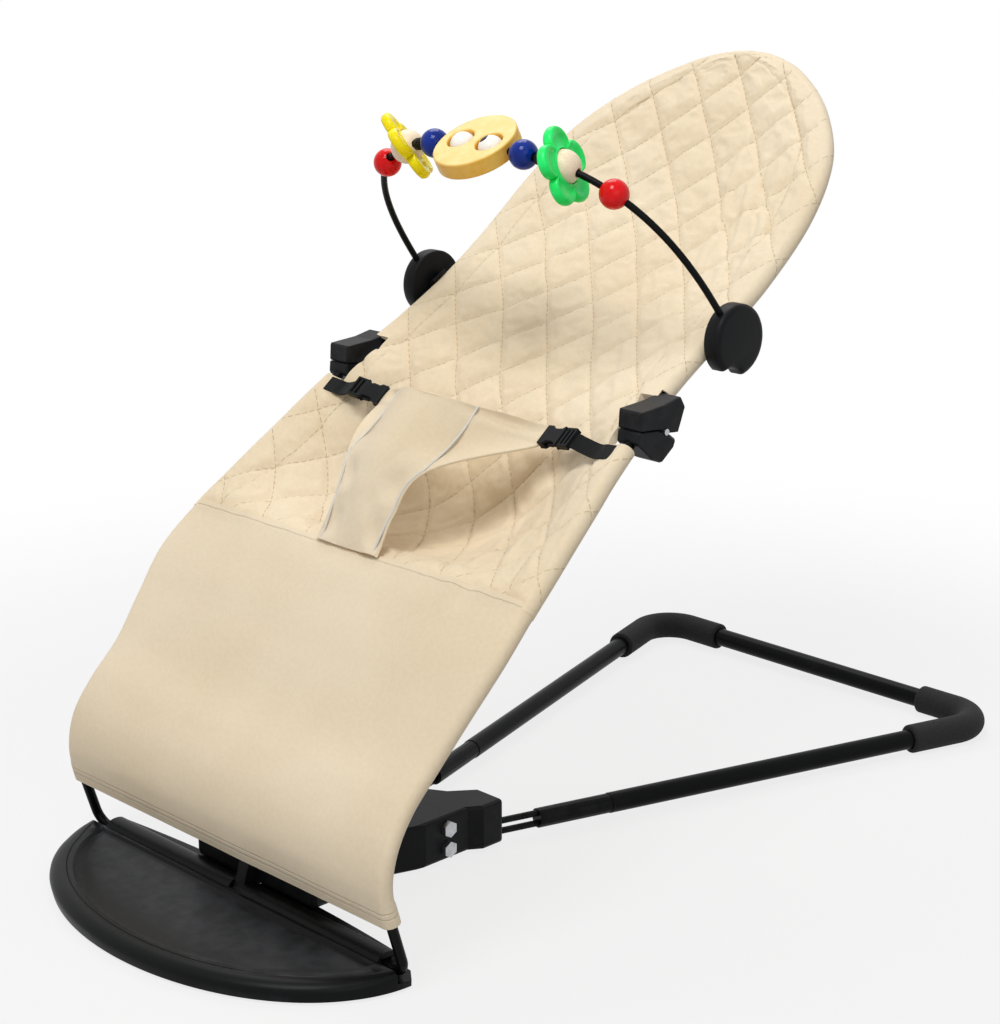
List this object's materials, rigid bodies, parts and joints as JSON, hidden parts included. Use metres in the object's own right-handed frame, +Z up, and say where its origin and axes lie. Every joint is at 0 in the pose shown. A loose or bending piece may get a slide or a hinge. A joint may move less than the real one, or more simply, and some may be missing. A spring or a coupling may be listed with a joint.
{
  "type": "baby bouncer",
  "caption": "Fabric sling seat on a bent spring-wire frame, reclining on a D-shaped foot plate with a rear tube stand, harness flap and toy bar.",
  "frame": {"origin": "on the floor, at the middle of the bouncer's overall length and width", "axes": "+X to the left side of a child who sits in the seat, +Y from the foot plate back towards the head end, +Z up"},
  "size_m": [0.4492, 0.925, 0.6694],
  "materials": {
    "black_plastic": "moulded black polypropylene, fine satin texture",
    "black_rubber": "matte black soft rubber",
    "zinc_steel": "zinc-plated steel",
    "black_steel": "black powder coat on round steel wire",
    "black_tube": "black powder coat on steel tube",
    "smooth_fabric": "smooth beige polyester cotton, plain weave",
    "quilted_fabric": "beige cotton quilted in diamonds over thin wadding",
    "black_webbing": "black woven webbing",
    "red_paint": "gloss red lacquer on a wooden ball",
    "blue_paint": "gloss dark blue lacquer on a wooden ball",
    "green_plastic": "glossy green plastic",
    "yellow_plastic": "glossy yellow plastic",
    "plain_wood": "plain sanded light wood",
    "yellow_paint": "satin pale yellow lacquer on a wooden disc",
    "white_paint": "gloss white lacquer on a wooden ball with a black dot"
  },
  "bodies": {
    "base": {"foot_plate": "black_plastic", "plate_pad_left": "black_rubber", "plate_pad_right": "black_rubber", "plate_pad_front": "black_rubber", "ridge_cover_left": "black_plastic", "ridge_cover_right": "black_plastic", "centre_bracket": "black_plastic", "hub_shell_left": "black_plastic", "hub_shell_right": "black_plastic", "hub_bolt_lower": "zinc_steel", "hub_bolt_upper": "zinc_steel", "leg_rod_lower_left": "black_steel", "leg_rod_upper_left": "black_steel", "leg_rod_lower_right": "black_steel", "leg_rod_upper_right": "black_steel", "leg_sleeve_left": "black_steel", "leg_sleeve_right": "black_steel", "rear_tube_left": "black_tube", "rear_tube_right": "black_tube", "corner_grip_left": "black_rubber", "corner_grip_right": "black_rubber"},
    "yoke": {"cross_wire": "black_steel", "recline_sector": "zinc_steel"},
    "seat": {"seat_wire_left": "black_steel", "seat_wire_right": "black_steel", "connector_lower_left": "black_plastic", "connector_lower_right": "black_plastic", "connector_upper_left": "black_plastic", "connector_upper_right": "black_plastic", "connector_pin_left": "zinc_steel", "connector_pin_right": "zinc_steel", "back_wire": "black_steel", "leg_cover": "smooth_fabric", "quilted_seat": "quilted_fabric", "harness_flap": "smooth_fabric", "strap_left": "black_webbing", "strap_right": "black_webbing", "buckle_socket_left": "black_plastic", "buckle_socket_right": "black_plastic", "clamp_jaw_left": "black_plastic", "clamp_jaw_right": "black_plastic"},
    "plug_left": {"buckle_plug_left": "black_plastic"},
    "plug_right": {"buckle_plug_right": "black_plastic"},
    "toy_frame": {"toy_bar": "black_steel", "clamp_knob_left": "black_plastic", "clamp_knob_right": "black_plastic", "bar_spacer_left": "black_plastic", "bar_spacer_right": "black_plastic"},
    "red_left": {"red_bead_left": "red_paint"},
    "red_right": {"red_bead_right": "red_paint"},
    "blue_left": {"blue_bead_left": "blue_paint"},
    "blue_right": {"blue_bead_right": "blue_paint"},
    "flower_left": {"flower_ball_left": "plain_wood", "flower_ring_left": "green_plastic"},
    "flower_right": {"flower_ball_right": "plain_wood", "flower_ring_right": "yellow_plastic"},
    "face": {"face_disc": "yellow_paint"},
    "eye_left": {"eye_ball_left": "white_paint"},
    "eye_right": {"eye_ball_right": "white_paint"}
  },
  "joints": [
    {"name": "recline", "type": "hinge", "parent": "base", "child": "yoke", "pos_m": [0, -0.3285, 0.0125], "axis": [1, 0, 0], "range_deg": [-34, 0]},
    {"name": "bounce", "type": "hinge", "parent": "yoke", "child": "seat", "pos_m": [0, -0.343, 0.06], "axis": [1, 0, 0], "range_deg": [-5, 3], "stiffness_Nm_per_rad": 120, "springref_deg": 2.6},
    {"name": "plug_left_slide", "type": "slide", "parent": "seat", "child": "plug_left", "axis": [0.9848, -0.1081, 0.1359], "range_m": [0, 0.014], "deforming": ["strap_left"]},
    {"name": "plug_right_slide", "type": "slide", "parent": "seat", "child": "plug_right", "axis": [-0.9848, -0.1081, 0.1359], "range_m": [0, 0.014], "deforming": ["strap_right"]},
    {"name": "toy_bar_tilt", "type": "hinge", "parent": "seat", "child": "toy_frame", "pos_m": [0, 0.0665, 0.454], "axis": [1, 0, 0], "range_deg": [-60, 35]},
    {"name": "red_left_spin", "type": "hinge", "parent": "toy_frame", "child": "red_left", "pos_m": [0.138, -0.03125, 0.58138], "axis": [0.7596, 0.396, -0.516], "continuous": true},
    {"name": "red_right_spin", "type": "hinge", "parent": "toy_frame", "child": "red_right", "pos_m": [-0.138, -0.03125, 0.58138], "axis": [0.7596, -0.396, 0.516], "continuous": true},
    {"name": "blue_left_spin", "type": "hinge", "parent": "toy_frame", "child": "blue_left", "pos_m": [0.054, -0.05141, 0.60766], "axis": [0.9936, 0.0685, -0.0893], "continuous": true},
    {"name": "blue_right_spin", "type": "hinge", "parent": "toy_frame", "child": "blue_right", "pos_m": [-0.054, -0.05141, 0.60766], "axis": [0.9936, -0.0685, 0.0893], "continuous": true},
    {"name": "flower_left_spin", "type": "hinge", "parent": "toy_frame", "child": "flower_left", "pos_m": [0.095, -0.04591, 0.6005], "axis": [0.9466, 0.1962, -0.2557], "continuous": true},
    {"name": "flower_right_spin", "type": "hinge", "parent": "toy_frame", "child": "flower_right", "pos_m": [-0.095, -0.04591, 0.6005], "axis": [0.9466, -0.1962, 0.2557], "continuous": true},
    {"name": "face_spin", "type": "hinge", "parent": "toy_frame", "child": "face", "pos_m": [0, -0.05257, 0.60918], "axis": [1, 0, 0], "continuous": true},
    {"name": "eye_left_spin", "type": "hinge", "parent": "toy_frame", "child": "eye_left", "pos_m": [0.017, -0.05274, 0.60939], "axis": [0.9999, 0.0085, -0.011], "continuous": true},
    {"name": "eye_right_spin", "type": "hinge", "parent": "toy_frame", "child": "eye_right", "pos_m": [-0.017, -0.05274, 0.60939], "axis": [0.9999, -0.0085, 0.011], "continuous": true}
  ]
}
